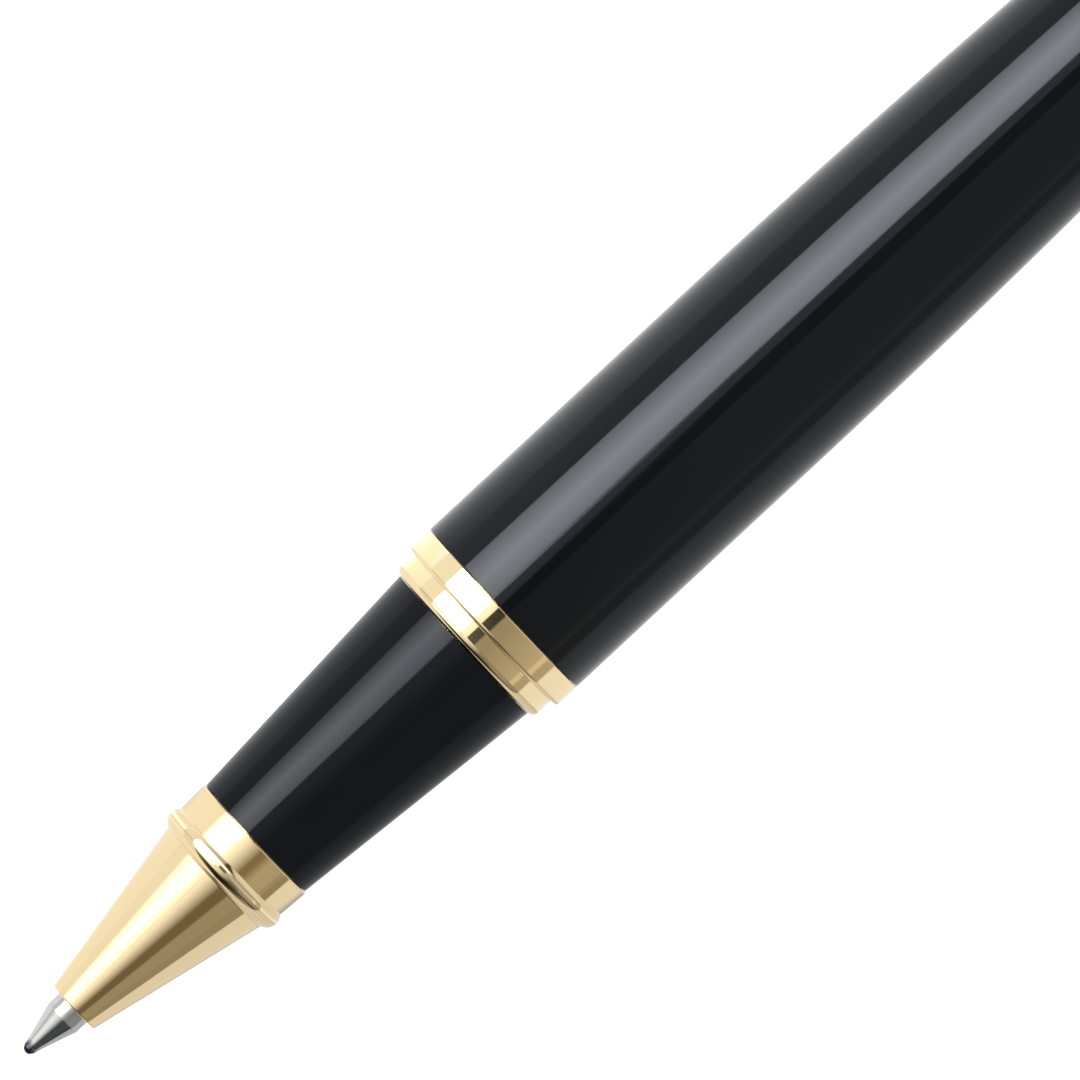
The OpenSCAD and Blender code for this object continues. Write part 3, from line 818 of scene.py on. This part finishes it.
OVER_SHANK = surroundings(
    back=1.0, side=0.65, box=(0.95, 1.0, 0.95), edge=4, box_end=-14,
    strip=1.15, fall=(-3, 20), gap=0.26, rise=(30, 60),
    wall=(0.28, 0.28, 0.28, 0.28), table=0.6)
OVER_COLLAR = surroundings(
    back=1.0, side=1.0, box=(1.7, 2.8, 2.0), edge=3, box_end=-15,
    strip=1.2, fall=(-6, 22), gap=0.23, rise=(30, 45),
    wall=(0.45, 0.42, 0.35, 0.3), table=0.82, tint=WARM)
OVER_GRIP = surroundings(
    back=0.87, side=0.56, box=(2.3, 7.1, 4.4), edge=0.4, box_end=-14.2,
    strip=0.73, fall=(-4, 16), gap=0.30, rise=(30, 50),
    wall=(0.35, 0.35, 0.33, 0.3), table=0.46)
OVER_NOSE = surroundings(
    back=0.98, side=0.93, box=(1.4, 2.3, 1.6), edge=3, box_end=-18,
    strip=1.1, fall=(-6, 22), gap=0.17, rise=(39, 44),
    wall=(0.34, 0.34, 0.31, 0.31), table=0.77, tint=WARM)
OVER_POINT = surroundings(
    back=1.1, side=0.76, box=(1.2, 1.35, 1.1), edge=4, box_end=-17,
    strip=0.95, fall=(-10, 16), gap=0.09, rise=(40, 60),
    wall=(0.09, 0.09, 0.05, 0.03), table=0.6, tint=COOL)
FRONT = surroundings(
    back=0.95, side=0.9, box=(0.2, 0.07, 0.03), edge=3, box_end=-14,
    strip=0.02, fall=(-8, 0), gap=0.02, rise=(30, 50),
    wall=(0.05, 0.25, 0.3, 0.36), table=0.75, tint=WARM)
FAR_FRONT = surroundings(
    back=0.95, side=0.9, box=(0.2, 0.07, 0.03), edge=3, box_end=-14,
    strip=0.02, fall=(-8, 0), gap=0.02, rise=(30, 50),
    wall=(0.05, 0.2, 0.25, 0.3), table=0.7, tint=WARM)

# Where each of them stands: the tilt along the pen, in degrees towards +X, of what a piece
# of that taper mirrors along its middle. Between two of them the studio blends.
STUDIO = [(52, REAR), (34, BEHIND), (22, OVER_BARREL), (1.2, OVER_BARREL), (0.4, OVER_RING),
          (-1.2, OVER_SHANK), (-3.5, OVER_SHANK), (-5.9, OVER_COLLAR), (-7, OVER_COLLAR),
          (-8.1, OVER_GRIP), (-11, OVER_GRIP), (-17, OVER_NOSE), (-27, OVER_NOSE),
          (-30, OVER_POINT), (-39, OVER_POINT), (-45, FRONT), (-66, FAR_FRONT)]
VIEW_TILT = 1.6       # degrees between straight down and the line of sight to the grip
BRIGHTEST = 15.0      # a ramp holds colours up to 1, so they are divided by this


def make_studio():
    """The world: the studio's brightness by direction, and plain white where the camera sees it."""
    world = bpy.data.worlds.new("studio")
    bpy.context.scene.world = world
    world.use_nodes = True
    tree = Tree(world.node_tree)
    way = tree.add("ShaderNodeTexCoord").outputs["Generated"]
    parts = tree.add("ShaderNodeSeparateXYZ", None, Vector=way)
    x, y, z = parts.outputs
    turn = tree.math("ARCTAN2", tree.math("MULTIPLY", y, -1.0), z)
    # The further round a taper a reflection lies, the less it leans along the pen
    across = tree.math("MAXIMUM", tree.math("COSINE", tree.math("MULTIPLY", turn, 0.5)), 0.05)
    lean = tree.math("ADD", x, math.sin(math.radians(VIEW_TILT)))
    lean = tree.math("MAXIMUM", tree.math("DIVIDE", lean, across), -1.0)
    tilt = tree.math("ARCSINE", tree.math("MINIMUM", lean, 1.0))
    turn = tree.remap(turn, -math.pi, math.pi, 0.0, 1.0)
    colour = None
    above = None
    for angle, shown in STUDIO:
        ramp = tree.add("ShaderNodeValToRGB", None, Fac=turn)
        stops = ramp.color_ramp.elements
        for i, (degrees, shade) in enumerate(shown):
            place = (degrees + 180) / 360
            stop = stops[i] if i < 2 else stops.new(place)
            stop.position = place
            stop.color = (*[c / BRIGHTEST for c in shade], 1.0)
        if colour is None:
            colour = ramp.outputs[0]
        else:
            share = tree.remap(tilt, math.radians(above), math.radians(angle), 0.0, 1.0)
            colour = tree.mix(share, colour, ramp.outputs[0])
        above = angle
    seen = tree.add("ShaderNodeLightPath").outputs["Is Camera Ray"]
    studio = tree.add("ShaderNodeBackground", None, Color=colour, Strength=BRIGHTEST)
    white = tree.add("ShaderNodeBackground", None, Color=rgb(1, 1, 1), Strength=1.0)
    both = tree.add("ShaderNodeMixShader", None, i0=seen, i1=studio.outputs[0], i2=white.outputs[0])
    tree.add("ShaderNodeOutputWorld", None, Surface=both.outputs[0])


CAMERA_X, CAMERA_HEIGHT = -0.0131, 1.05   # the height is over the pen's axis
AIM_X, AIM_Y = -0.03108, 0.00135
LENS, SENSOR = 637, 36
PEN_LEAN = 42.93                          # degrees between the pen and the picture's right


def make_camera():
    """Looks almost straight down, with the pen running up to the right."""
    data = bpy.data.cameras.new("camera")
    data.sensor_width = SENSOR
    data.lens = LENS
    data.clip_start = 0.05
    data.clip_end = 20
    camera = bpy.data.objects.new("camera", data)
    bpy.context.scene.collection.objects.link(camera)
    place = Vector((CAMERA_X, 0, axis_z + CAMERA_HEIGHT))
    aim = Vector((AIM_X, AIM_Y, axis_z))
    lean = math.radians(PEN_LEAN)
    up = Vector((math.sin(lean), math.cos(lean), 0))
    back = (place - aim).normalized()
    up = (up - back * up.dot(back)).normalized()
    right = up.cross(back)
    turn = Matrix((right, up, back)).transposed()
    camera.matrix_world = Matrix.Translation(place) @ turn.to_4x4()
    bpy.context.scene.camera = camera


make_floor()
make_studio()
make_camera()
bpy.context.scene.view_settings.view_transform = "Standard"
